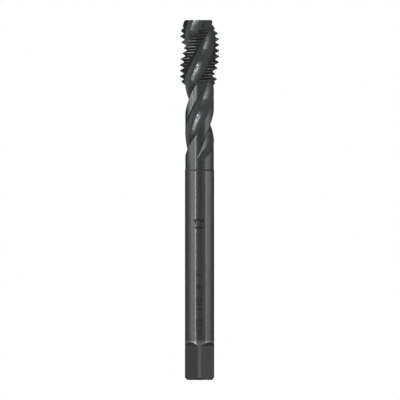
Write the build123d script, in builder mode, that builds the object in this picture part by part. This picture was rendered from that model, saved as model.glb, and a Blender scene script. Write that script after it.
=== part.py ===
"""Spiral-fluted machine tap for an M12 x 1.75 thread, ground from one bar of tool steel.

The tap stands upright on its square end, with +Z along its axis and the cutting end up.
The origin is at the middle of the bottom face. All sizes are in millimetres and degrees.
"""

import os
from math import acos, cos, degrees, radians, sin, tan

from build123d import *

# Lengths along the axis
overall_length = 110.0
shank_length = 64.4          # square end up to the step at the neck
thread_length = 18.4         # front face down to the start of the rear chamfer
lead_length = 4.9            # tapered first threads
square_length = 10.4         # flats at full depth
flute_length = 43.0          # front face down to where the flutes have run out

# Diameters
shank_diameter = 9.0
neck_diameter = 8.8
thread_diameter = 12.0
thread_root_diameter = 9.86
front_diameter = 9.4         # the lead taper, measured at the front face

# Thread
thread_pitch = 1.75
thread_angle = 60.0
crest_flat = thread_pitch / 8
first_groove = 1.51          # front face down to the first groove, on the +X side

# Square drive
square_width = 7.0
square_ramp_angle = 40.0     # between the ramp and the axis
flat_count = 4

# Flutes
flute_count = 3
flute_lead = 46.0            # rise of one full turn, right-handed
core_diameter = 5.6          # steel left between the straight backs of the flutes
rake_angle = 8.0
root_radius = 2.0            # between the cutting face and the back of the flute
heel_diameter = 8.7          # where the back of the flute meets the heel wall
heel_angle = 81.0            # from the cutting edge, at the foot of the heel wall
heel_crest_angle = 78.0      # from the cutting edge, at the thread crest
heel_radius = 0.3
lift_angle = 67.5            # from the cutting edge, the way the grinding wheel leaves
runout_length = 8.0          # height over which the wheel leaves the flute
runout_ramp = 0.6            # share of the wheel's way out that is an even slope
runout_power = 5             # how suddenly the rest comes at the end
first_edge_angle = 56.9      # cutting edge from +X, where the wheel starts to leave

# Small edges
front_chamfer = 0.5
end_chamfer = 0.75
step_chamfer = 0.6           # height of the cone between neck and shank

# Centre holes for grinding between centres
centre_cone_angle = 60.0
centre_point_angle = 118.0
rear_centre_diameter = 3.35
rear_pilot_diameter = 1.6
front_centre_diameter = 2.65
front_pilot_diameter = 1.25
pilot_proportion = 1.1       # pilot depth below the cone, in pilot diameters

# Room that the cutting tools have outside the work
clearance = 1.0
groove_clearance = 0.1       # a wider groove would meet its own next turn
twist_step = 18.0            # turn between two sections of a flute
lift_steps = 8               # sections in the runout

thread_radius = thread_diameter / 2
shank_radius = shank_diameter / 2
neck_radius = neck_diameter / 2
thread_foot = overall_length - thread_length
neck_top = thread_foot - (thread_radius - neck_radius)
runout_start = overall_length - flute_length + runout_length


def polar(radius, angle):
    """A point in the section plane, from its radius and its angle in degrees."""
    return Vector(radius * cos(radians(angle)), radius * sin(radians(angle)))


def centre_drill(cone_diameter, pilot_diameter):
    """The shape that a centre drill leaves, from z = 0 upwards."""
    cone_height = (cone_diameter - pilot_diameter) / 2 / tan(radians(centre_cone_angle / 2))
    pilot_top = cone_height + pilot_proportion * pilot_diameter
    point_top = pilot_top + pilot_diameter / 2 / tan(radians(centre_point_angle / 2))
    with BuildPart() as drill:
        with BuildSketch(Plane.XZ):
            with BuildLine():
                Polyline(
                    (0, 0),
                    (cone_diameter / 2, 0),
                    (pilot_diameter / 2, cone_height),
                    (pilot_diameter / 2, pilot_top),
                    (0, point_top),
                    close=True,
                )
            make_face()
        revolve(axis=Axis.Z)
    return drill.part


# Blank as it is turned and ground round
with BuildPart() as blank:
    with BuildSketch(Plane.XZ):
        with BuildLine():
            lead_slope = (thread_radius - front_diameter / 2) / lead_length
            chamfer_radius = front_diameter / 2 + front_chamfer * lead_slope
            Polyline(
                (0, 0),
                (shank_radius - end_chamfer, 0),
                (shank_radius, end_chamfer),
                (shank_radius, shank_length - step_chamfer),
                (neck_radius, shank_length),
                (neck_radius, neck_top),
                (thread_radius, thread_foot),
                (thread_radius, overall_length - lead_length),
                (chamfer_radius, overall_length - front_chamfer),
                (chamfer_radius - front_chamfer, overall_length),
                (0, overall_length),
                close=True,
            )
        make_face()
    revolve(axis=Axis.Z)

# One turn of the thread groove, the lowest of those that reach above the front face
groove_turns = int((thread_length + first_groove) / thread_pitch) + 2
groove_foot = overall_length - first_groove - (groove_turns - 1) * thread_pitch
flank_slope = tan(radians(thread_angle / 2))
groove_depth = (thread_diameter - thread_root_diameter) / 2
groove_mouth = (thread_pitch - crest_flat) / 2 + groove_clearance * flank_slope
groove_floor = (thread_pitch - crest_flat) / 2 - groove_depth * flank_slope
with BuildPart() as groove_turn:
    with BuildLine() as groove_path:
        Helix(
            pitch=thread_pitch,
            height=thread_pitch,
            radius=thread_radius,
            center=(0, 0, groove_foot),
        )
    with BuildSketch(Plane.XZ):
        with BuildLine():
            Polyline(
                (thread_radius + groove_clearance, groove_foot - groove_mouth),
                (thread_radius + groove_clearance, groove_foot + groove_mouth),
                (thread_radius - groove_depth, groove_foot + groove_floor),
                (thread_radius - groove_depth, groove_foot - groove_floor),
                close=True,
            )
        make_face()
    sweep(path=groove_path.wires()[0], is_frenet=True)

# Outline of one flute across the axis, with the cutting edge at angle 0
core_radius = core_diameter / 2
back_bearing = heel_angle - degrees(acos(core_diameter / heel_diameter))
back_normal = polar(1, back_bearing)
face_inward = polar(1, 180 + rake_angle)
cutting_edge = polar(thread_radius, 0)
face_depth = (core_radius - cutting_edge.dot(back_normal)) / face_inward.dot(back_normal)
root_corner = cutting_edge + face_inward * face_depth
heel_foot = polar(heel_diameter / 2, heel_angle)
heel_crest = polar(thread_radius, heel_crest_angle)
heel_outward = (heel_crest - heel_foot).normalized()
outer_face = cutting_edge - face_inward * clearance
outer_heel = heel_crest + heel_outward * clearance
outer_middle = polar(thread_radius + 3 * clearance, heel_crest_angle / 2)


def flute_section(height, lift):
    """Sketch the flute's outline at a height, moved outwards by a lift."""
    turn = first_edge_angle + 360 * (height - runout_start) / flute_lead
    shift = polar(lift, turn + lift_angle)
    across = polar(1, turn)
    plane = Plane(
        origin=(shift.X, shift.Y, height), x_dir=(across.X, across.Y, 0), z_dir=(0, 0, 1)
    )
    with BuildSketch(plane) as section:
        with BuildLine():
            FilletPolyline(
                outer_face, root_corner, heel_foot, outer_heel, radius=(root_radius, heel_radius)
            )
            Polyline(outer_heel, outer_middle, outer_face)
        make_face()
    return section.sketch.face()


# Path of the grinding wheel: level along the flute, then out on a slope that ends in a steep round
full_lift = (neck_radius - core_radius) / cos(radians(lift_angle - back_bearing))
level_height = overall_length + clearance - runout_start
level_steps = int(360 * level_height / flute_lead / twist_step) + 1
sections = []
for step in range(level_steps, 0, -1):
    sections.append(flute_section(runout_start + step * level_height / level_steps, 0))
for step in range(lift_steps + 2):
    share = step / lift_steps
    lift = full_lift * (runout_ramp * share + (1 - runout_ramp) * share**runout_power)
    sections.append(flute_section(runout_start - share * runout_length, lift))
with BuildPart() as flute:
    loft(sections)

# One flat of the square drive, with the ramp that runs out to the shank
ramp_height = (shank_radius + clearance - square_width / 2) / tan(radians(square_ramp_angle))
with BuildPart() as square_flat:
    with BuildSketch(Plane.XZ):
        with BuildLine():
            Polyline(
                (square_width / 2, -clearance),
                (square_width / 2, square_length),
                (shank_radius + clearance, square_length + ramp_height),
                (shank_radius + clearance, -clearance),
                close=True,
            )
        make_face()
    extrude(amount=shank_radius + clearance, both=True)

# The tap: blank, thread, flutes, square and centre holes
with BuildPart() as thread_tap:
    add(blank.part)
    with Locations(*[(0, 0, turn * thread_pitch) for turn in range(groove_turns + 1)]):
        add(groove_turn.part, mode=Mode.SUBTRACT)
    with PolarLocations(0, flute_count):
        add(flute.part, mode=Mode.SUBTRACT)
    with PolarLocations(0, flat_count, start_angle=45):
        add(square_flat.part, mode=Mode.SUBTRACT)
    add(centre_drill(rear_centre_diameter, rear_pilot_diameter), mode=Mode.SUBTRACT)
    with Locations((0, 0, overall_length)):
        add(
            centre_drill(front_centre_diameter, front_pilot_diameter),
            rotation=(180, 0, 0),
            mode=Mode.SUBTRACT,
        )

thread_tap.part.label = "thread_tap"
os.makedirs("parts", exist_ok=True)
export_step(thread_tap.part, "parts/thread_tap.step")
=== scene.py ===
"""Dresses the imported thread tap: its ground and threaded body, its size marks and a small studio.

Sizes in the sidebar are real lengths. The geometry node trees work in millimetres, and their last
step scales to metres.
"""

from math import acos, ceil, cos, degrees, pi, radians, sin, sqrt, tan

import bpy
from bpy.props import (
    FloatProperty, FloatVectorProperty, IntProperty, PointerProperty, StringProperty
)
from mathutils import Matrix, Vector


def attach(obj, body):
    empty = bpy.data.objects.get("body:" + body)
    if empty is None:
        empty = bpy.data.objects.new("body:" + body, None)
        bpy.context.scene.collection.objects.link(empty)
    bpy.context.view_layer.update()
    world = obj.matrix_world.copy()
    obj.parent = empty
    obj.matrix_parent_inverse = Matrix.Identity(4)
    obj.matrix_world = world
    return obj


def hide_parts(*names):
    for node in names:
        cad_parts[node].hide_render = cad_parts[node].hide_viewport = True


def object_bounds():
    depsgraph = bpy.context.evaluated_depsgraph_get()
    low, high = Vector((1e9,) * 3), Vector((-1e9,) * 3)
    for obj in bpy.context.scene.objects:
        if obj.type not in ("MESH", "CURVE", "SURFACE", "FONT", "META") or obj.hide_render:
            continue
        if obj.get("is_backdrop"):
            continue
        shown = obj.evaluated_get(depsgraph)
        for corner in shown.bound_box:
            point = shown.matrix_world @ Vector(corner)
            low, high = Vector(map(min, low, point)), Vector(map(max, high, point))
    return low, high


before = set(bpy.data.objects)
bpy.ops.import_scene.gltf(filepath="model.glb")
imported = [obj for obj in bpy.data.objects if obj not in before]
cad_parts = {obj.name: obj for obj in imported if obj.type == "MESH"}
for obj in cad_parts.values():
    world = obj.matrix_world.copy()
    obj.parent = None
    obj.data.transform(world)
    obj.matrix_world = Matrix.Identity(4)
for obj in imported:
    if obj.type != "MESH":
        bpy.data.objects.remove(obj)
cad_low, cad_high = (list(corner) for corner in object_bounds())

bl_info = {
    "name": "Thread tap",
    "version": (1, 0, 0),
    "blender": (4, 5, 0),
    "location": "3D View > Sidebar > Tap",
    "description": "Builds a helical-fluted machine tap with its studio",
    "category": "Object",
}

TAP_NODE = "thread_tap"
BODY = "root"
MM = 0.001

# Names of what the body's mesh carries: which cut made a face, and a mask for some of the cuts
CUT_NAME = "cut_by"
BLANK, GROOVE, FLUTE, SQUARE, CENTRE = range(5)
FLUTE_MASK = "flute_faces"
THREAD_MASK = "thread_faces"
SQUARE_MASK = "square_faces"

# Guards the split of a point's number into column and row against rounding
ROUNDING = 0.0005

# Distance in millimetres that closes seams and poles
WELD = 0.0005


def length(label, millimetres, description):
    """A length property whose default is given in millimetres."""
    return FloatProperty(
        name=label, description=description, default=millimetres * MM, unit="LENGTH", precision=5
    )


def angle(label, degree, description):
    """An angle property whose default is given in degrees."""
    return FloatProperty(
        name=label, description=description, default=radians(degree), unit="ROTATION"
    )


def share(label, default, description):
    """A property between 0 and 1."""
    return FloatProperty(
        name=label, description=description, default=default, min=0, max=1, subtype="FACTOR"
    )


def colour(label, default, description):
    """A colour property."""
    return FloatVectorProperty(
        name=label, description=description, default=default, subtype="COLOR", size=3, min=0, max=1
    )


class TapSizes(bpy.types.PropertyGroup):
    """Sizes of the tap, the same as the solid's."""

    overall: length("Overall length", 110, "Square end to front face")
    shank_length: length("Shank length", 64.4, "Square end to the step at the neck")
    thread_length: length("Thread length", 18.4, "Front face to the rear chamfer")
    lead_length: length("Lead length", 4.9, "Tapered first threads")
    square_length: length("Square length", 10.4, "Flats at full depth")
    flute_length: length("Flute length", 43, "Front face to the end of the flutes")
    runout_length: length("Run-out length", 8, "Height over which a flute gets shallow")
    shank_diameter: length("Shank diameter", 9, "Ground shank")
    neck_diameter: length("Neck diameter", 8.8, "Neck behind the thread")
    thread_diameter: length("Thread diameter", 12, "Over the crests")
    root_diameter: length("Root diameter", 9.86, "Floor of the thread groove")
    front_diameter: length("Front diameter", 9.4, "Lead taper at the front face")
    pitch: length("Pitch", 1.75, "Rise of the thread in one turn")
    first_groove: length("First groove", 1.51, "Front face to the first groove, on the +X side")
    square_width: length("Square width", 7, "Across two flats")
    square_ramp: angle("Square ramp", 40, "Between a ramp and the axis")
    flute_lead: length("Flute lead", 46, "Rise of one turn of a flute")
    first_edge: angle("First edge", 56.9, "Cutting edge from +X, where the run-out starts")
    core_diameter: length("Core diameter", 5.6, "Steel left between the backs of the flutes")
    rake: angle("Rake", 8, "Lean of the cutting face")
    root_radius: length("Root radius", 2, "Between the cutting face and the back of a flute")
    heel_diameter: length("Heel foot diameter", 8.7, "Where the back of a flute meets its heel")
    heel_foot: angle("Heel foot", 81, "From the cutting edge")
    heel_crest: angle("Heel crest", 78, "From the cutting edge")
    heel_radius: length("Heel fillet", 0.3, "Between the back of a flute and its heel")
    lift_angle: angle("Lift angle", 67.5, "From the cutting edge, the way the wheel leaves")
    runout_ramp: share("Run-out ramp", 0.6, "Share of the wheel's way out that is an even slope")
    runout_power: IntProperty(
        name="Run-out power", description="How suddenly a flute ends", default=5, min=2, max=9
    )
    front_chamfer: length("Front chamfer", 0.5, "At the front face")
    end_chamfer: length("End chamfer", 0.75, "At the square end")
    step_height: length("Step height", 0.6, "Cone between neck and shank")
    rear_centre: length("Rear centre hole", 3.35, "Mouth of the centre hole in the square end")
    rear_pilot: length("Rear pilot", 1.6, "Its pilot hole")
    front_centre: length("Front centre hole", 2.65, "Mouth of the centre hole in the front face")
    front_pilot: length("Front pilot", 1.25, "Its pilot hole")
    flutes: IntProperty(name="Flutes", description="Number of flutes", default=3, min=2, max=6)
    columns: IntProperty(
        name="Columns", description="Mesh columns round the tap", default=144, min=24, max=288
    )
    flute_step: length("Flute step", 0.4, "Height between two mesh rows of a flute")


class MarkSizes(bpy.types.PropertyGroup):
    """The size marks down the shank, read from the square end up."""

    size_text: StringProperty(name="Size", description="Large figures", default="12")
    detail_text: StringProperty(
        name="Detail", description="Small figures", default="1.75   110   9   7"
    )
    size_height: length("Size height", 3.0, "Height of the large figures")
    detail_height: length("Detail height", 2.0, "Height of the small figures")
    size_foot: length("Size foot", 45.5, "Where the large figures start")
    detail_foot: length("Detail foot", 14.0, "Where the small figures start")
    depth: length("Depth", 0.012, "How far the mark stands over the steel")


class TapColours(bpy.types.PropertyGroup):
    """Colours of the steel and of the studio."""

    steel: colour("Steel", (0.0384, 0.0398, 0.0396), "Steam-oxidised high-speed steel")
    blue: colour("Blued steel", (0.0355, 0.0392, 0.0395), "Cooler oxide of the cutting end")
    straw: colour("Straw", (0.048, 0.047, 0.044), "Warmer oxide between the threads")
    mark: colour("Mark", (0.012, 0.012, 0.013), "Etched figures")
    roughness: share("Roughness", 0.13, "Gloss of the ground shank")
    floor: colour("Floor", (0.9, 0.9, 0.9), "Studio floor")


def in_mm(sizes):
    """The lengths of a property group in millimetres and its angles in degrees."""
    values = {}
    for key, prop in sizes.bl_rna.properties.items():
        if prop.type == "FLOAT" and prop.array_length == 0:
            scale = {"LENGTH": 1 / MM, "ROTATION": degrees(1)}.get(prop.unit, 1)
            values[key] = round(getattr(sizes, key) * scale, 6)
        elif prop.type in ("INT", "STRING"):
            values[key] = getattr(sizes, key)
    return values


class Number:
    """A node socket that holds a number, with arithmetic that adds Math nodes."""

    def __init__(self, graph, socket):
        self.graph = graph
        self.socket = socket

    def __add__(self, other):
        return self.graph.maths("ADD", self, other)

    def __sub__(self, other):
        return self.graph.maths("SUBTRACT", self, other)

    def __mul__(self, other):
        return self.graph.maths("MULTIPLY", self, other)

    def __truediv__(self, other):
        return self.graph.maths("DIVIDE", self, other)

    def __pow__(self, other):
        return self.graph.maths("POWER", self, other)

    def __mod__(self, other):
        return self.graph.maths("FLOORED_MODULO", self, other)

    def __radd__(self, other):
        return self.graph.maths("ADD", other, self)

    def __rsub__(self, other):
        return self.graph.maths("SUBTRACT", other, self)

    def __rmul__(self, other):
        return self.graph.maths("MULTIPLY", other, self)

    def __rtruediv__(self, other):
        return self.graph.maths("DIVIDE", other, self)

    def floor(self):
        return self.graph.maths("FLOOR", self)

    def least(self, other):
        return self.graph.maths("MINIMUM", self, other)

    def most(self, other):
        return self.graph.maths("MAXIMUM", self, other)

    def above(self, other):
        return self.graph.maths("GREATER_THAN", self, other)

    def below(self, other):
        return self.graph.maths("LESS_THAN", self, other)

    def sine(self):
        return self.graph.maths("SINE", self)

    def cosine(self):
        return self.graph.maths("COSINE", self)


class Graph:
    """Adds nodes to one node tree, of a material, the world or a geometry modifier."""

    def __init__(self, tree):
        self.tree = tree

    def add(self, kind, settings=None, sockets=None):
        """A node of one type. Its settings are set first, then its sockets by name or number."""
        node = self.tree.nodes.new(kind)
        for key, value in (settings or {}).items():
            setattr(node, key, value)
        for key, value in (sockets or {}).items():
            self.feed(node.inputs[key], value)
        return node

    def feed(self, socket, value):
        """Links a socket to another or gives it a value."""
        if isinstance(value, Number):
            value = value.socket
        if isinstance(value, bpy.types.NodeSocket):
            self.tree.links.new(value, socket)
        else:
            socket.default_value = value

    def number(self, node, output=0):
        """A node's output as a number."""
        return Number(self, node.outputs[output])

    def maths(self, operation, *values):
        """The result of a Math node."""
        node = self.add("ShaderNodeMath", {"operation": operation}, dict(enumerate(values)))
        return self.number(node)

    def attribute(self, name):
        """A mask that the mesh carries."""
        node = self.add("ShaderNodeAttribute", {"attribute_name": name})
        return self.number(node, "Fac")

    def place(self):
        """Where a point of the object lies, in millimetres."""
        return [axis / MM for axis in self.split(self.add("ShaderNodeTexCoord").outputs["Object"])]

    def noise(self, place, cells):
        """Noise round 0, from its cells to a millimetre across and along, and its detail."""
        x, y, z = place
        across, along, detail = cells
        node = self.add("ShaderNodeTexNoise", sockets={
            "Vector": self.vector(x * across, y * across, z * along),
            "Scale": 1.0,
            "Detail": detail,
        })
        return self.number(node, "Fac") - 0.5

    def mix_colour(self, factor, first, second):
        """A colour between two, where each is three numbers or a socket."""
        node = self.add("ShaderNodeMix", {"data_type": "RGBA"}, {0: factor})
        for socket, value in ((node.inputs[6], first), (node.inputs[7], second)):
            self.feed(socket, value if isinstance(value, bpy.types.NodeSocket) else (*value, 1))
        return node.outputs[2]

    def scale_colour(self, colour, factor):
        """A colour made lighter or darker by a number."""
        node = self.add("ShaderNodeVectorMath", {"operation": "SCALE"}, {0: colour})
        self.feed(node.inputs["Scale"], factor)
        return node.outputs[0]

    def vector(self, x, y, z):
        """A vector from three numbers."""
        return self.add("ShaderNodeCombineXYZ", sockets={0: x, 1: y, 2: z}).outputs[0]

    def split(self, socket):
        """The three numbers of a vector."""
        node = self.add("ShaderNodeSeparateXYZ", sockets={0: socket})
        return [self.number(node, axis) for axis in range(3)]


class GeometryTree(Graph):
    """A new geometry node tree with named inputs, listed by their kind."""

    def __init__(self, name, **inputs):
        super().__init__(bpy.data.node_groups.new(name, "GeometryNodeTree"))
        self.items = {}
        self.tree.interface.new_socket(
            "Geometry", in_out="OUTPUT", socket_type="NodeSocketGeometry"
        )
        for kind, labels in inputs.items():
            for label in labels:
                item = self.tree.interface.new_socket(
                    label, in_out="INPUT", socket_type="NodeSocket" + kind
                )
                self.items[label] = item.identifier
        self.entry = self.add("NodeGroupInput")
        self.exit = self.add("NodeGroupOutput")

    def input(self, label):
        """One of the tree's own inputs, as a number where it is one."""
        socket = self.entry.outputs[label]
        return Number(self, socket) if socket.type in ("VALUE", "INT") else socket

    def finish(self, geometry, material=None):
        """Ends the tree, with its material where it makes a piece."""
        if material is not None:
            real = self.add("GeometryNodeRealizeInstances", sockets={"Geometry": geometry})
            coat = self.add(
                "GeometryNodeSetMaterial",
                sockets={"Geometry": real.outputs[0], "Material": material},
            )
            geometry = coat.outputs[0]
        self.feed(self.exit.inputs[0], geometry)
        return self

    def points(self, geometry, index):
        """The positions of a geometry's points, by their number."""
        place = self.add("GeometryNodeInputPosition")
        sample = self.add(
            "GeometryNodeSampleIndex",
            {"data_type": "FLOAT_VECTOR", "domain": "POINT"},
            {"Geometry": geometry, "Value": place.outputs[0], "Index": index},
        )
        return self.split(sample.outputs[0])

    def count(self, geometry):
        """The number of a mesh's points."""
        node = self.add(
            "GeometryNodeAttributeDomainSize", {"component": "MESH"}, {"Geometry": geometry}
        )
        return self.number(node)

    def grid(self, columns, rows):
        """A grid with its column and row numbers."""
        mesh = self.add(
            "GeometryNodeMeshGrid",
            sockets={"Size X": 1, "Size Y": 1, "Vertices X": columns, "Vertices Y": rows},
        )
        index = self.number(self.add("GeometryNodeInputIndex"))
        column = (index / rows + ROUNDING).floor()
        return mesh.outputs[0], column, index - column * rows

    def shape(self, mesh, x, y, z):
        """Moves a mesh's points to their places and closes its seams and poles."""
        moved = self.add(
            "GeometryNodeSetPosition", sockets={"Geometry": mesh, "Position": self.vector(x, y, z)}
        )
        merged = self.add(
            "GeometryNodeMergeByDistance",
            sockets={"Geometry": moved.outputs[0], "Distance": WELD},
        )
        return merged.outputs[0]

    def boolean(self, operation, first, others):
        """Joins, cuts or intersects closed meshes."""
        node = self.add(
            "GeometryNodeMeshBoolean", {"operation": operation, "solver": "MANIFOLD"}
        )
        if operation == "DIFFERENCE":
            self.feed(node.inputs["Mesh 1"], first)
        else:
            others = [first, *others]
        for other in others:
            self.tree.links.new(other, node.inputs["Mesh 2"])
        return node.outputs[0]

    def tag(self, mesh, number):
        """Gives a mesh's faces the number of the tool that cuts them."""
        node = self.add(
            "GeometryNodeStoreNamedAttribute",
            {"data_type": "INT", "domain": "FACE"},
            {"Geometry": mesh, "Name": CUT_NAME, "Value": number},
        )
        return node.outputs[0]

    def use(self, other, values):
        """The geometry that another tree makes."""
        node = self.add("GeometryNodeGroup", {"node_tree": other.tree})
        for label, value in values.items():
            self.feed(node.inputs[label], value)
        return node.outputs[0]

    def helper(self, label):
        """The geometry of an object input."""
        node = self.add("GeometryNodeObjectInfo", sockets={"Object": self.input(label)})
        return node.outputs["Geometry"]


def polar(radius, degree):
    """A point across the axis, from its radius and its angle."""
    return Vector((radius * cos(radians(degree)), radius * sin(radians(degree))))


def rounded(corners, radii, arc_step=5.0):
    """A closed outline with some corners turned into arcs."""
    outline = []
    for index, (corner, radius) in enumerate(zip(corners, radii)):
        if not radius:
            outline.append(corner)
            continue
        before = (corners[index - 1] - corner).normalized()
        after = (corners[(index + 1) % len(corners)] - corner).normalized()
        half = acos(before.dot(after)) / 2
        centre = corner + (before + after).normalized() * (radius / sin(half))
        start = corner + before * (radius / tan(half)) - centre
        end = corner + after * (radius / tan(half)) - centre
        sweep = pi - 2 * half
        steps = max(2, ceil(degrees(sweep) / arc_step))
        for step in range(steps + 1):
            part = sweep * step / steps
            outline.append(centre + (start * sin(sweep - part) + end * sin(part)) / sin(sweep))
    return outline


def divided(outline, longest=0.3):
    """A closed outline whose long sides are cut into shorter ones."""
    points = []
    for index, point in enumerate(outline):
        side = outline[(index + 1) % len(outline)] - point
        steps = max(1, ceil(side.length / longest))
        points += [point + side * step / steps for step in range(steps)]
    return points


def new_object(name, data):
    """An object in the scene."""
    item = bpy.data.objects.new(name, data)
    bpy.context.scene.collection.objects.link(item)
    return item


def points_object(name, points):
    """An object that only carries the points of an outline or a profile."""
    mesh = bpy.data.meshes.new(name)
    mesh.from_pydata([(x, 0, z) for x, z in points], [], [])
    return new_object(name, mesh)


def evaluated_mesh(tree, name, values, helpers):
    """Runs a geometry tree on an empty object and keeps its result as a plain mesh object."""
    carrier = new_object(name, bpy.data.meshes.new(name))
    modifier = carrier.modifiers.new("Shape", "NODES")
    modifier.node_group = tree.tree
    for label, value in values.items():
        modifier[tree.items[label]] = value
    graph = bpy.context.evaluated_depsgraph_get()
    graph.update()
    mesh = bpy.data.meshes.new_from_object(carrier.evaluated_get(graph), depsgraph=graph)
    carrier.modifiers.remove(modifier)
    carrier.data = mesh
    mesh.name = name
    for helper in helpers:
        bpy.data.objects.remove(helper)
    return carrier


# Room that the cutting tools have outside the work, and their own shapes, in millimetres
CLEARANCE = 1.0
GROOVE_CLEARANCE = 0.1
THREAD_HALF_ANGLE = radians(30)
CREST_SHARE = 1 / 8
PILOT_PROPORTION = 1.1
CONE_HALF_ANGLE = radians(30)
POINT_HALF_ANGLE = radians(59)
SLEEVE = 14.0
FLATS = 4
CENTRE_COLUMNS = 48

# Height of the narrow rings beside the step, which keep its shading off the long faces
STEP_EDGE = 0.1


def blank_profile(mm):
    """The blank as it is turned, from the square end up."""
    shank, neck, thread = (mm[key + "_diameter"] / 2 for key in ("shank", "neck", "thread"))
    front, top = mm["front_diameter"] / 2, mm["overall"]
    chamfer = mm["front_chamfer"]
    chamfered = front + chamfer * (thread - front) / mm["lead_length"]
    foot = top - mm["thread_length"]
    return [
        (0, 0),
        (shank - mm["end_chamfer"], 0),
        (shank, mm["end_chamfer"]),
        (shank, mm["shank_length"] - mm["step_height"] - STEP_EDGE),
        (shank, mm["shank_length"] - mm["step_height"]),
        (neck, mm["shank_length"]),
        (neck, mm["shank_length"] + STEP_EDGE),
        (neck, foot - (thread - neck)),
        (thread, foot),
        (thread, top - mm["lead_length"]),
        (chamfered, top - chamfer),
        (chamfered - chamfer, top),
        (0, top),
    ]


def square_profile(mm):
    """A sleeve with a side to each flat, which leaves the square and its ramps on the blank."""
    corner = mm["square_width"] / sqrt(2)
    rise = (SLEEVE - mm["square_width"]) / 2 / tan(radians(mm["square_ramp"]))
    top = mm["overall"] + CLEARANCE
    wide = SLEEVE / sqrt(2)
    return [
        (0, -CLEARANCE),
        (corner, -CLEARANCE),
        (corner, mm["square_length"]),
        (wide, mm["square_length"] + rise),
        (wide, top),
        (0, top),
    ]


def centre_profile(mouth, pilot):
    """A centre drill that stands on z = 0, with its foot below it."""
    cone = (mouth - pilot) / 2 / tan(CONE_HALF_ANGLE)
    pilot_top = cone + PILOT_PROPORTION * pilot
    foot = (mouth / 2 + CLEARANCE * tan(CONE_HALF_ANGLE), -CLEARANCE)
    point = pilot_top + pilot / 2 / tan(POINT_HALF_ANGLE)
    return [(0, -CLEARANCE), foot, (pilot / 2, cone), (pilot / 2, pilot_top), (0, point)]


def groove_outline(mm):
    """The thread groove across itself, with its axis at z = 0."""
    slope = tan(THREAD_HALF_ANGLE)
    crest = mm["pitch"] * (1 - CREST_SHARE) / 2
    outside = mm["thread_diameter"] / 2
    depth = outside - mm["root_diameter"] / 2
    mouth = crest + GROOVE_CLEARANCE * slope
    floor = crest - depth * slope
    outer = outside + GROOVE_CLEARANCE
    return [(outer, -mouth), (outside - depth, -floor), (outside - depth, floor), (outer, mouth)]


def flute_outline(mm):
    """One flute across the axis, with the cutting edge at angle 0, and the way of its back."""
    heel_foot = polar(mm["heel_diameter"] / 2, mm["heel_foot"])
    back = mm["heel_foot"] - degrees(acos(mm["core_diameter"] / mm["heel_diameter"]))
    back_normal = polar(1, back)
    inward = polar(1, 180 + mm["rake"])
    edge = polar(mm["thread_diameter"] / 2, 0)
    depth = (mm["core_diameter"] / 2 - edge.dot(back_normal)) / inward.dot(back_normal)
    heel_crest = polar(mm["thread_diameter"] / 2, mm["heel_crest"])
    corners = [
        edge - inward * CLEARANCE,
        edge + inward * depth,
        heel_foot,
        heel_crest + (heel_crest - heel_foot).normalized() * CLEARANCE,
        polar(mm["thread_diameter"] / 2 + 3 * CLEARANCE, mm["heel_crest"] / 2),
    ]
    outline = rounded(corners, (0, mm["root_radius"], mm["heel_radius"], 0, 0))
    outline.reverse()
    return divided(outline), back


def lathe_tree():
    """A closed body turned from a profile."""
    tree = GeometryTree("lathe", Object=["Profile"], Int=["Columns"])
    profile = tree.helper("Profile")
    columns, rows = tree.input("Columns"), tree.count(profile)
    mesh, column, row = tree.grid(columns + 1, rows)
    radius, _, height = tree.points(profile, row)
    turn = (column % columns) * (2 * pi) / columns
    return tree.finish(
        tree.shape(mesh, radius * turn.cosine(), radius * turn.sine(), height)
    )


def swept_rows(tree, outline, rows):
    """A grid round an outline, whose first and last rows close on its middle."""
    points = tree.count(outline)
    mesh, column, row = tree.grid(points + 1, rows + 2)
    across, _, along = tree.points(outline, column % points)
    middle_across, _, middle_along = tree.split(tree.input("Middle"))
    ends = row.below(0.5) + row.above(rows + 0.5)
    step = (row - 1).most(0).least(rows - 1)
    across = across + (middle_across - across) * ends
    along = along + (middle_along - along) * ends
    return mesh, across, along, step


def groove_tree():
    """The thread groove as a closed helical bar."""
    tree = GeometryTree(
        "thread_groove",
        Object=["Outline"],
        Vector=["Middle"],
        Int=["Columns", "Turns"],
        Float=["Pitch", "Foot"],
    )
    columns = tree.input("Columns")
    rows = columns * tree.input("Turns") + 1
    mesh, radius, rise, step = swept_rows(tree, tree.helper("Outline"), rows)
    turns = step / columns
    height = tree.input("Foot") + rise + turns * tree.input("Pitch")
    turn = (step % columns) * (2 * pi) / columns
    return tree.finish(
        tree.shape(mesh, radius * turn.cosine(), radius * turn.sine(), height)
    )


# Inputs for the way that the grinding wheel goes, the same in the flute's tree and the tap's
WHEEL_WAY = (
    "First edge", "Run-out start", "Run-out length", "Run-out ramp", "Run-out power",
    "Full lift", "Lift angle",
)


def flute_tree():
    """What the wheel takes out for one flute, with its run-out at the foot."""
    tree = GeometryTree(
        "flute",
        Object=["Outline"],
        Vector=["Middle"],
        Int=["Rows"],
        Float=["Step", "Top", "Lead", *WHEEL_WAY],
    )
    rows = tree.input("Rows")
    mesh, across, along, step = swept_rows(tree, tree.helper("Outline"), rows)
    height = tree.input("Top") - (rows - 1 - step) * tree.input("Step")
    start, ramp = tree.input("Run-out start"), tree.input("Run-out ramp")
    left = ((start - height) / tree.input("Run-out length")).most(0)
    sudden = left ** tree.input("Run-out power")
    lift = tree.input("Full lift") * (ramp * left + (1 - ramp) * sudden)
    across = across + lift * tree.input("Lift angle").cosine()
    along = along + lift * tree.input("Lift angle").sine()
    turn = tree.input("First edge") + (height - start) * (2 * pi) / tree.input("Lead")
    cosine, sine = turn.cosine(), turn.sine()
    return tree.finish(
        tree.shape(mesh, across * cosine - along * sine, across * sine + along * cosine, height)
    )


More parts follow.
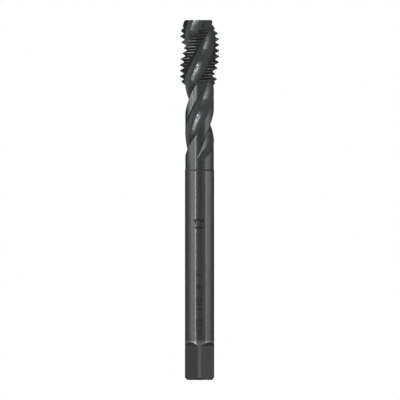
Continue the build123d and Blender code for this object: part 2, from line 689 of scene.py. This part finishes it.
def tap_tree(flutes, material):
    """The whole tap: blank, thread groove, flutes, square and centre holes."""
    tree = GeometryTree(
        "thread_tap_body",
        Object=["Blank", "Groove", "Flute", "Square", "Front centre", "Rear centre"],
        Vector=["Groove middle", "Flute middle"],
        Int=["Columns", "Groove turns", "Flute rows"],
        Float=[
            "Overall", "Pitch", "Groove foot", "Flute step", "Flute top", "Flute lead", *WHEEL_WAY
        ],
    )
    lathe, groove, flute = lathe_tree(), groove_tree(), flute_tree()
    columns = tree.input("Columns")

    def turned(label, sides=columns):
        """A body turned from one of the profiles."""
        return tree.use(lathe, {"Profile": tree.input(label), "Columns": sides})

    def moved(mesh, height=0, tilt=0, turn=0):
        """A mesh tilted, turned and lifted."""
        place = tree.vector(0, 0, height)
        node = tree.add(
            "GeometryNodeTransform",
            sockets={"Geometry": mesh, "Translation": place, "Rotation": (tilt, 0, turn)},
        )
        return node.outputs[0]

    def fed(other, tool, own):
        """Another tree's geometry, whose own inputs bear the tool's name in this tree."""
        names = {label: f"{tool} {label.lower()}" for label in own}
        names["Outline"] = tool
        return tree.use(
            other, {label: tree.input(names.get(label, label)) for label in other.items}
        )

    thread = fed(groove, "Groove", ("Middle", "Turns", "Foot"))
    wheel = fed(flute, "Flute", ("Middle", "Rows", "Step", "Top", "Lead"))
    wheels = [
        tree.tag(moved(wheel, turn=2 * pi * number / flutes), FLUTE) for number in range(flutes)
    ]
    body = tree.tag(turned("Blank"), BLANK)
    body = tree.boolean("DIFFERENCE", body, [tree.tag(thread, GROOVE)])
    body = tree.boolean("DIFFERENCE", body, wheels)
    body = tree.boolean("INTERSECT", body, [tree.tag(turned("Square", FLATS), SQUARE)])
    holes = [
        tree.tag(turned("Rear centre", CENTRE_COLUMNS), CENTRE),
        tree.tag(
            moved(turned("Front centre", CENTRE_COLUMNS), tree.input("Overall"), pi), CENTRE
        ),
    ]
    body = tree.boolean("DIFFERENCE", body, holes)
    scaled = tree.add(
        "GeometryNodeTransform", sockets={"Geometry": body, "Scale": (MM, MM, MM)}
    )
    return tree.finish(scaled.outputs[0], material)


# Patterns of the finish: cells to a millimetre across and along the axis, and detail
RING_LINES = (0.05, 9, 3)
FINE_LINES = (0.12, 30, 2)
WHEEL_LINES = (9, 0.15, 3)
CLOUD = (0.35, 0.2, 4)
SPECK = (6, 6, 2)
GRAIN = (5, 5, 3)

# How much of the lines round the tap is fine ones
FINE_SHARE = 0.3

# How much lighter each pattern and place is than the plain oxide. The flutes are painted lighter,
# as painted reflected light in their hollows; the threads are painted darker, as painted shade that
# holds down their glints; the corners of the square are painted lighter, partly as wear and partly
# as a painted highlight; the step below the neck is painted darker, as painted shade on its cone
CLOUD_TONE, LINE_TONE, SPECK_TONE = 0.12, 0.2, 0.1
FLUTE_PAINTED_LIGHT, THREAD_PAINTED_SHADE, WEAR_AND_HIGHLIGHT_TONE = 0.38, -0.14, 1.2
FLAT_TONE, STEP_PAINTED_SHADE = -0.28, -0.25

# How much duller each pattern and place is than the ground shank
CLOUD_DULL, LINE_DULL = 0.03, 0.06
FLUTE_DULL, THREAD_DULL, FLAT_DULL, STEP_DULL, END_DULL = -0.09, 0.25, 0.12, 0.3, 0.05

# How much straw colour the threads and the clouds have
THREAD_STRAW, CLOUD_STRAW = 0.6, 0.4

# How far above the square its corners are painted lighter, as wear and as a painted highlight, in
# millimetres
WEAR_AND_HIGHLIGHT_HEIGHT = 1.5

# The lines in relief: depth in millimetres, strength, and what threads and flutes lose of it
LINE_DEPTH = 0.02
LINE_STRENGTH = 0.35
THREAD_LOSS, FLUTE_LOSS = 0.6, 0.7

# Share of metal in the oxide film, and of the light that it throws back at low angles
METAL_SHARE = 0.36
EDGE_TINT = 0.3

# The etched figures: how much steel shows through and how unevenly, share of metal, dullness
BARE_SHARE, BARE_SPREAD = 0.1, 0.8
MARK_METAL = 0.2
MARK_DULL, GRAIN_DULL = 0.6, 0.2


def emptied(owner):
    """The node tree of a material or the world, without the nodes that it starts with."""
    owner.use_nodes = True
    owner.node_tree.nodes.clear()
    return Graph(owner.node_tree)


def steel_material(colours, mm):
    """Ground high-speed steel with a dark oxide.

    Fine lines run round the tap where it was ground round, and along the flutes. The corners of the
    square are painted brighter, partly as wear and partly as a painted highlight. The small step
    below the neck is duller than the rest and painted darker, as painted shade on its cone. The
    flutes are painted lighter, as painted reflected light in their hollows, and the threads painted
    darker, as painted shade that holds down their glints.
    """
    material = bpy.data.materials.new("ground_steel")
    graph = emptied(material)
    x, y, z = graph.place()
    # The flutes are painted lighter, as painted reflected light in their hollows
    flute = graph.attribute(FLUTE_MASK)
    # The threads are painted darker, as painted shade that holds down their glints
    thread = graph.attribute(THREAD_MASK)
    flat = graph.attribute(SQUARE_MASK)

    twist = z * (-2 * pi / mm["flute_lead"])
    u = x * twist.cosine() - y * twist.sine()
    v = x * twist.sine() + y * twist.cosine()
    ring_lines = graph.noise((x, y, z), RING_LINES) * (1 - FINE_SHARE)
    ring_lines = ring_lines + graph.noise((x, y, z), FINE_LINES) * FINE_SHARE
    lines = ring_lines * (1 - flute) + graph.noise((u, v, z), WHEEL_LINES) * flute
    cloud = graph.noise((x, y, z), CLOUD)
    speck = graph.noise((x, y, z), SPECK)

    # Corners of the square, painted lighter partly as wear and partly as a painted highlight
    wear_and_highlight = (1 - flat) * z.below(mm["square_length"] + WEAR_AND_HIGHLIGHT_HEIGHT) * z.above(mm["end_chamfer"])
    end = z.above(mm["shank_length"] - mm["step_height"])
    step = end * z.below(mm["shank_length"])
    straw = (thread * THREAD_STRAW + cloud * CLOUD_STRAW).most(0).least(1)
    pattern = 1 + cloud * CLOUD_TONE + lines * LINE_TONE + speck * SPECK_TONE
    # Painted reflected light in the flutes, painted shade on the threads, wear and a painted
    # highlight on the square's corners
    places = 1 + flute * FLUTE_PAINTED_LIGHT + thread * THREAD_PAINTED_SHADE + wear_and_highlight * WEAR_AND_HIGHLIGHT_TONE
    # The step below the neck is painted darker here, as painted shade on its cone
    tone = pattern * places * (1 + flat * FLAT_TONE + step * STEP_PAINTED_SHADE)
    base = graph.mix_colour(end, colours.steel, colours.blue)
    base = graph.scale_colour(graph.mix_colour(straw, base, colours.straw), tone)
    dull = end * END_DULL + flute * FLUTE_DULL + step * STEP_DULL + flat * FLAT_DULL
    dull = dull + thread * THREAD_DULL + cloud * CLOUD_DULL + lines * LINE_DULL
    bump = graph.add("ShaderNodeBump", sockets={
        "Strength": LINE_STRENGTH,
        "Distance": LINE_DEPTH * MM,
        "Height": lines * (1 - thread * THREAD_LOSS - flute * FLUTE_LOSS),
    })
    shader = graph.add("ShaderNodeBsdfPrincipled", sockets={
        "Base Color": base,
        "Metallic": METAL_SHARE,
        "Roughness": colours.roughness + dull,
        "Specular IOR Level": 0.0,
        "Specular Tint": (EDGE_TINT, EDGE_TINT, EDGE_TINT, 1),
        "Normal": bump.outputs[0],
    })
    graph.add("ShaderNodeOutputMaterial", sockets={0: shader.outputs[0]})
    return material


def mark_material(colours):
    """Flat dark etching."""
    material = bpy.data.materials.new("etched_mark")
    graph = emptied(material)
    grain = graph.noise(graph.place(), GRAIN)
    bare = (BARE_SHARE + grain * BARE_SPREAD).most(0).least(1)
    shader = graph.add("ShaderNodeBsdfPrincipled", sockets={
        "Base Color": graph.mix_colour(bare, colours.mark, colours.steel),
        "Metallic": MARK_METAL,
        "Roughness": MARK_DULL + grain * GRAIN_DULL,
        "Specular IOR Level": 0.0,
    })
    graph.add("ShaderNodeOutputMaterial", sockets={0: shader.outputs[0]})
    return material


# Degrees from which an edge is sharp: any edge, and one between two forms of the blank
SHARP_ANGLE = 30
TURNED_ANGLE = 12


def finish_faces(mesh):
    """Shades smooth with sharp edges between cuts, and stores a mask for each kind of cut."""
    mesh.shade_smooth()
    mesh.set_sharp_from_angle(angle=radians(SHARP_ANGLE))
    cuts = [item.value for item in mesh.attributes[CUT_NAME].data]
    sides = {}
    for polygon in mesh.polygons:
        for key in polygon.edge_keys:
            sides.setdefault(key, []).append(polygon)
    for edge in mesh.edges:
        one, other = sides[edge.key]
        if cuts[one.index] != cuts[other.index]:
            edge.use_edge_sharp = True
        elif cuts[one.index] == BLANK and one.normal.angle(other.normal, 0) > radians(TURNED_ANGLE):
            edge.use_edge_sharp = True
    for name, cut in ((FLUTE_MASK, FLUTE), (THREAD_MASK, GROOVE), (SQUARE_MASK, SQUARE)):
        mask = mesh.attributes.new(name, "FLOAT", "FACE")
        for index, number in enumerate(cuts):
            mask.data[index].value = float(number == cut)


class TAP_OT_body(bpy.types.Operator):
    """Builds the tap's body and lets it stand for the solid"""

    bl_idname = "tap.body"
    bl_label = "Tap body"

    def execute(self, context):
        mm = in_mm(context.scene.tap_sizes)
        outline, back = flute_outline(mm)
        profiles = {
            "Blank": blank_profile(mm),
            "Groove": groove_outline(mm),
            "Flute": outline,
            "Square": square_profile(mm),
            "Front centre": centre_profile(mm["front_centre"], mm["front_pilot"]),
            "Rear centre": centre_profile(mm["rear_centre"], mm["rear_pilot"]),
        }
        helpers = {name: points_object(name, points) for name, points in profiles.items()}
        turns = int((mm["thread_length"] + mm["first_groove"]) / mm["pitch"]) + 1
        top = mm["overall"] + CLEARANCE
        foot = mm["overall"] - mm["flute_length"] - CLEARANCE
        lift = (mm["neck_diameter"] - mm["core_diameter"]) / 2
        lift /= cos(radians(mm["lift_angle"] - back))
        groove_middle = (mm["thread_diameter"] + mm["root_diameter"]) / 4
        flute_middle = polar(mm["thread_diameter"] / 2 - CLEARANCE, mm["heel_crest"] / 2)
        values = {
            **helpers,
            "Columns": mm["columns"],
            "Overall": mm["overall"],
            "Pitch": mm["pitch"],
            "Groove middle": (groove_middle, 0.0, 0.0),
            "Groove turns": turns + 2,
            "Groove foot": mm["overall"] - mm["first_groove"] - turns * mm["pitch"],
            "Flute middle": (flute_middle.x, 0.0, flute_middle.y),
            "Flute rows": int((top - foot) / mm["flute_step"]) + 1,
            "Flute step": mm["flute_step"],
            "Flute top": top,
            "Flute lead": mm["flute_lead"],
            "First edge": radians(mm["first_edge"]),
            "Run-out start": mm["overall"] - mm["flute_length"] + mm["runout_length"],
            "Run-out length": mm["runout_length"],
            "Run-out ramp": mm["runout_ramp"],
            "Run-out power": float(mm["runout_power"]),
            "Full lift": lift,
            "Lift angle": radians(mm["lift_angle"]),
        }
        tree = tap_tree(mm["flutes"], steel_material(context.scene.tap_colours, mm))
        body = evaluated_mesh(tree, "tap_body", values, helpers.values())
        finish_faces(body.data)
        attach(body, BODY)
        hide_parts(TAP_NODE)
        return {"FINISHED"}


# Height of a figure in a text of size 1, and how far the figures reach into the shank
FIGURE_HEIGHT = 0.72
SINK = 0.03


def marks_tree(material):
    """Figures laid round the front of the shank, reading from the square end up."""
    tree = GeometryTree(
        "size_figures", String=["Text"], Float=["Height", "Foot", "Radius", "Depth"]
    )
    height, radius = tree.input("Height"), tree.input("Radius")
    text = tree.add(
        "GeometryNodeStringToCurves",
        {"align_y": "MIDDLE"},
        {"String": tree.input("Text"), "Size": height / FIGURE_HEIGHT},
    )
    curves = tree.add("GeometryNodeRealizeInstances", sockets={0: text.outputs[0]})
    filled = tree.add("GeometryNodeFillCurve", sockets={0: curves.outputs[0]})
    fine = tree.add("GeometryNodeSubdivideMesh", sockets={0: filled.outputs[0], "Level": 3})
    along, across, _ = tree.split(tree.add("GeometryNodeInputPosition").outputs[0])
    turn = -pi / 2 - across / radius
    sunk = radius - SINK

    def ring(distance):
        """Where the figures lie at a distance from the axis."""
        height = along + tree.input("Foot")
        return tree.vector(turn.cosine() * distance, turn.sine() * distance, height)

    wrapped = tree.add(
        "GeometryNodeSetPosition", sockets={"Geometry": fine.outputs[0], "Position": ring(sunk)}
    )
    out_x, out_y, _ = tree.split(tree.add("GeometryNodeInputPosition").outputs[0])
    reach = (tree.input("Depth") + SINK) / sunk
    raised = tree.add("GeometryNodeExtrudeMesh", {"mode": "FACES"}, {
        "Mesh": wrapped.outputs[0],
        "Offset": tree.vector(out_x * reach, out_y * reach, 0),
        "Individual": False,
    })
    foot = tree.add("GeometryNodeFlipFaces", sockets={0: wrapped.outputs[0]})
    both = tree.add("GeometryNodeJoinGeometry")
    for part in (foot.outputs[0], raised.outputs[0]):
        tree.tree.links.new(part, both.inputs[0])
    closed = tree.add(
        "GeometryNodeMergeByDistance", sockets={"Geometry": both.outputs[0], "Distance": WELD}
    )
    scaled = tree.add(
        "GeometryNodeTransform", sockets={"Geometry": closed.outputs[0], "Scale": (MM, MM, MM)}
    )
    return tree.finish(scaled.outputs[0], material)


class TAP_OT_marks(bpy.types.Operator):
    """Etches the size figures down the shank"""

    bl_idname = "tap.marks"
    bl_label = "Size figures"

    def execute(self, context):
        mm = in_mm(context.scene.tap_marks)
        radius = in_mm(context.scene.tap_sizes)["shank_diameter"] / 2
        tree = marks_tree(mark_material(context.scene.tap_colours))
        for part in ("size", "detail"):
            values = {
                "Text": mm[part + "_text"],
                "Height": mm[part + "_height"],
                "Foot": mm[part + "_foot"],
                "Radius": radius,
                "Depth": mm["depth"],
            }
            figures = evaluated_mesh(tree, part + "_figures", values, ())
            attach(figures, BODY)
        return {"FINISHED"}


class StudioSizes(bpy.types.PropertyGroup):
    """Camera and lamps."""

    view_width: length("View width", 122.2, "Width of the picture at the tap")
    view_side: length("View side", 0.13, "Sideways place of the picture's middle")
    view_distance: length("Camera distance", 500, "Camera to the tap's axis")
    lamp_distance: length("Lamp distance", 3000, "Softboxes to the tap's axis")
    near_distance: length("Near lamp distance", 150, "Small lamps to the tap's axis")
    floor_size: length("Floor size", 6000, "Side of the floor")


# Tints of the lamps
COOL = (0.99, 1.0, 1.0)
ROSE = (1.0, 0.8, 0.8)
LILAC = (1.0, 0.87, 0.97)
WARM = (1.0, 0.99, 0.95)

# Far softboxes in rows: the directions where their panels meet, with 0 towards the camera and the
# right side positive, and the panels' levels, with 1 as bright as the white world. Directions,
# rise and spread are in degrees.
SOFTBOXES = (
    ("left", COOL, (-125, -103, -92, -82, -71, -28, -20, -12), (1.8, 2.2, 3.2, 5.8, 12.2, 6, 2.0)),
    ("right", WARM, (18, 34, 46, 62, 80, 92, 104, 130), (1.3, 2.2, 12.8, 9.6, 6.4, 4.6, 3)),
    ("strip", ROSE, (-35, -30), (42,)),
    ("rear", COOL, (157, 166, 174, 187, 196, 204), (3, 8, 1.5, 6, 2.5)),
)
SOFTBOX_RISE = 3.5
SOFTBOX_SPREAD = 9

# Weaker rows over the front softboxes, seen only in gloss: rise, spread and share of the level
FADED = ("left", "right")
FADES = ((11, 6, 0.7), (17, 6, 0.32), (23, 6, 0.1))

# Small lamps near the cutting end, seen only in gloss: name, tint, level, span, height in
# millimetres, spread and roll
NEAR_LAMPS = (
    ("tube", LILAC, 55, (-78, -38), 107, 1.5, 20),
    ("glint", LILAC, 50, (-60, -50), 87, 2, 0),
    ("side", COOL, 7.5, (-104, -70), 89, 14, 0),
)

# Light from the table round the foot, seen only in gloss: widths, levels that add up, and the
# gap to the floor. Lengths are in metres.
TABLE = ((0.3, 1.0), (0.2, 1.2), (0.14, 1.8), (0.1, 2.0), (0.07, 2.5))
TABLE_GAP = 0.0005

# The lamp over the tap: level, width and height. The one behind it: level, span, distance,
# height and spread. Lengths are in metres.
OVERHEAD = (2.5, 0.6, 0.8)
REAR_KEY = (4, (155, 205), 0.8, 0.65, 40)

# The world and the floor are white to rays that show the background, and dimmer as light
DIM = 0.15
FLOOR_GLOW = 0.55
FLOOR_DULL = 0.9


def area_lamp(name, shape, level, area, place, turn):
    """An area lamp that the camera doesn't see, with a brightness that its area doesn't change."""
    item = new_object(name, bpy.data.lights.new(name, "AREA"))
    item.data.shape = shape
    item.data.energy = level * pi * area
    item.location = place
    item.rotation_euler = turn
    item.visible_camera = False
    return item


def panel_lamp(name, tint, level, span, distance, height, spread, roll=0):
    """A lamp across a span of directions, turned to the tap."""
    bearing = radians(sum(span) / 2)
    across = 2 * distance * tan(radians(span[1] - span[0]) / 2)
    along = 2 * distance * tan(radians(spread) / 2)
    place = (distance * sin(bearing), -distance * cos(bearing), height)
    turn = Matrix.Rotation(bearing, 3, "Z") @ Matrix.Rotation(pi / 2, 3, "X")
    turn = turn @ Matrix.Rotation(radians(roll), 3, "Z")
    item = area_lamp(name, "RECTANGLE", level, across * along, place, turn.to_euler())
    item.data.size = across
    item.data.size_y = along
    item.data.color = tint
    return item


def disk_lamp(name, level, width, height, tilt):
    """A round lamp on the tap's axis."""
    area = pi * width * width / 4
    item = area_lamp(name, "DISK", level, area, (0, 0, height), (tilt, 0, 0))
    item.data.size = width
    return item


def gloss_only(lamp):
    """Keeps a lamp out of everything but the gloss of the steel."""
    lamp.visible_diffuse = False


def softboxes(middle, distance):
    """The rows of far softboxes, with their weaker rows above."""
    for name, tint, edges, levels in SOFTBOXES:
        for number, (span, level) in enumerate(zip(zip(edges, edges[1:]), levels)):
            label = f"{name}_{number}"
            height = middle + distance * tan(radians(SOFTBOX_RISE))
            panel_lamp(label, tint, level, span, distance, height, SOFTBOX_SPREAD)
            for row, (rise, spread, part) in enumerate(FADES if name in FADED else ()):
                height = middle + distance * tan(radians(rise))
                gloss_only(panel_lamp(
                    f"{label}_{row}", tint, level * part, span, distance, height, spread
                ))


def near_lamps(distance):
    """The small lamps whose streaks run along the flutes."""
    for name, tint, level, span, height, spread, roll in NEAR_LAMPS:
        gloss_only(panel_lamp(name, tint, level, span, distance, height * MM, spread, roll))


def white_to_rays(graph):
    """1 for rays that show the background: the camera's, and those in metal and glass."""
    path = graph.add("ShaderNodeLightPath")
    shown = graph.number(path, "Is Camera Ray")
    for label in ("Is Glossy Ray", "Is Transmission Ray"):
        shown = shown.most(graph.number(path, label))
    return shown


def floor_material(colours):
    """A pale floor that keeps shadows and reads as white to the camera."""
    material = bpy.data.materials.new("floor")
    graph = emptied(material)
    shader = graph.add("ShaderNodeBsdfPrincipled", sockets={
        "Base Color": (*colours.floor, 1),
        "Roughness": FLOOR_DULL,
        "Specular IOR Level": 0.0,
    })
    glow = graph.add(
        "ShaderNodeEmission", sockets={0: (1, 1, 1, 1), 1: FLOOR_GLOW * white_to_rays(graph)}
    )
    both = graph.add("ShaderNodeAddShader", sockets={0: shader.outputs[0], 1: glow.outputs[0]})
    graph.add("ShaderNodeOutputMaterial", sockets={0: both.outputs[0]})
    return material


class TAP_OT_stage(bpy.types.Operator):
    """Sets up the floor, the lamps, the plain world and the camera"""

    bl_idname = "tap.stage"
    bl_label = "Studio"

    def execute(self, context):
        scene = context.scene
        studio = scene.tap_studio
        middle = Vector((0, 0, (cad_low[2] + cad_high[2]) / 2))
        softboxes(middle.z, studio.lamp_distance)
        near_lamps(studio.near_distance)
        for number, (width, level) in enumerate(TABLE):
            gloss_only(disk_lamp(f"table_{number}", level, width, TABLE_GAP, pi))
        disk_lamp("overhead", *OVERHEAD, 0)
        panel_lamp("rear_key", COOL, *REAR_KEY)

        world = bpy.data.worlds.new("studio")
        graph = emptied(world)
        strength = DIM + (1 - DIM) * white_to_rays(graph)
        back = graph.add("ShaderNodeBackground", sockets={0: (1, 1, 1, 1), 1: strength})
        graph.add("ShaderNodeOutputWorld", sockets={0: back.outputs[0]})
        scene.world = world

        floor_mesh = bpy.data.meshes.new("floor")
        half = studio.floor_size / 2
        corners = [(-half, -half, 0), (half, -half, 0), (half, half, 0), (-half, half, 0)]
        floor_mesh.from_pydata(corners, [], [(0, 1, 2, 3)])
        floor_mesh.materials.append(floor_material(scene.tap_colours))
        floor = new_object("floor", floor_mesh)
        floor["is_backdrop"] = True

        camera = bpy.data.cameras.new("camera")
        camera.type = "ORTHO"
        camera.ortho_scale = studio.view_width
        holder = new_object("camera", camera)
        holder.location = middle + Vector((studio.view_side, -studio.view_distance, 0))
        holder.rotation_euler = (pi / 2, 0, 0)
        scene.camera = holder
        scene.view_settings.view_transform = "Standard"
        return {"FINISHED"}


class TAP_PT_panel(bpy.types.Panel):
    """Lists the tap's sizes, colours and building steps"""

    bl_idname = "TAP_PT_panel"
    bl_label = "Thread tap"
    bl_space_type = "VIEW_3D"
    bl_region_type = "UI"
    bl_category = "Tap"

    def draw(self, context):
        layout = self.layout
        for operator in (TAP_OT_body, TAP_OT_marks, TAP_OT_stage):
            layout.operator(operator.bl_idname)
        for owner in GROUPS:
            group = getattr(context.scene, owner)
            box = layout.box()
            for key in group.__annotations__:
                box.prop(group, key)


GROUPS = {
    "tap_sizes": TapSizes,
    "tap_marks": MarkSizes,
    "tap_colours": TapColours,
    "tap_studio": StudioSizes,
}
CLASSES = (*GROUPS.values(), TAP_OT_body, TAP_OT_marks, TAP_OT_stage, TAP_PT_panel)


def register():
    """Adds the classes and the scene's settings."""
    for item in CLASSES:
        bpy.utils.register_class(item)
    for owner, group in GROUPS.items():
        setattr(bpy.types.Scene, owner, PointerProperty(type=group))


def unregister():
    """Takes the settings and the classes away again."""
    for owner in GROUPS:
        delattr(bpy.types.Scene, owner)
    for item in reversed(CLASSES):
        bpy.utils.unregister_class(item)


def main():
    """Builds the tap and its studio."""
    register()
    bpy.ops.tap.stage()
    bpy.ops.tap.body()
    bpy.ops.tap.marks()


if __name__ == "__main__":
    main()
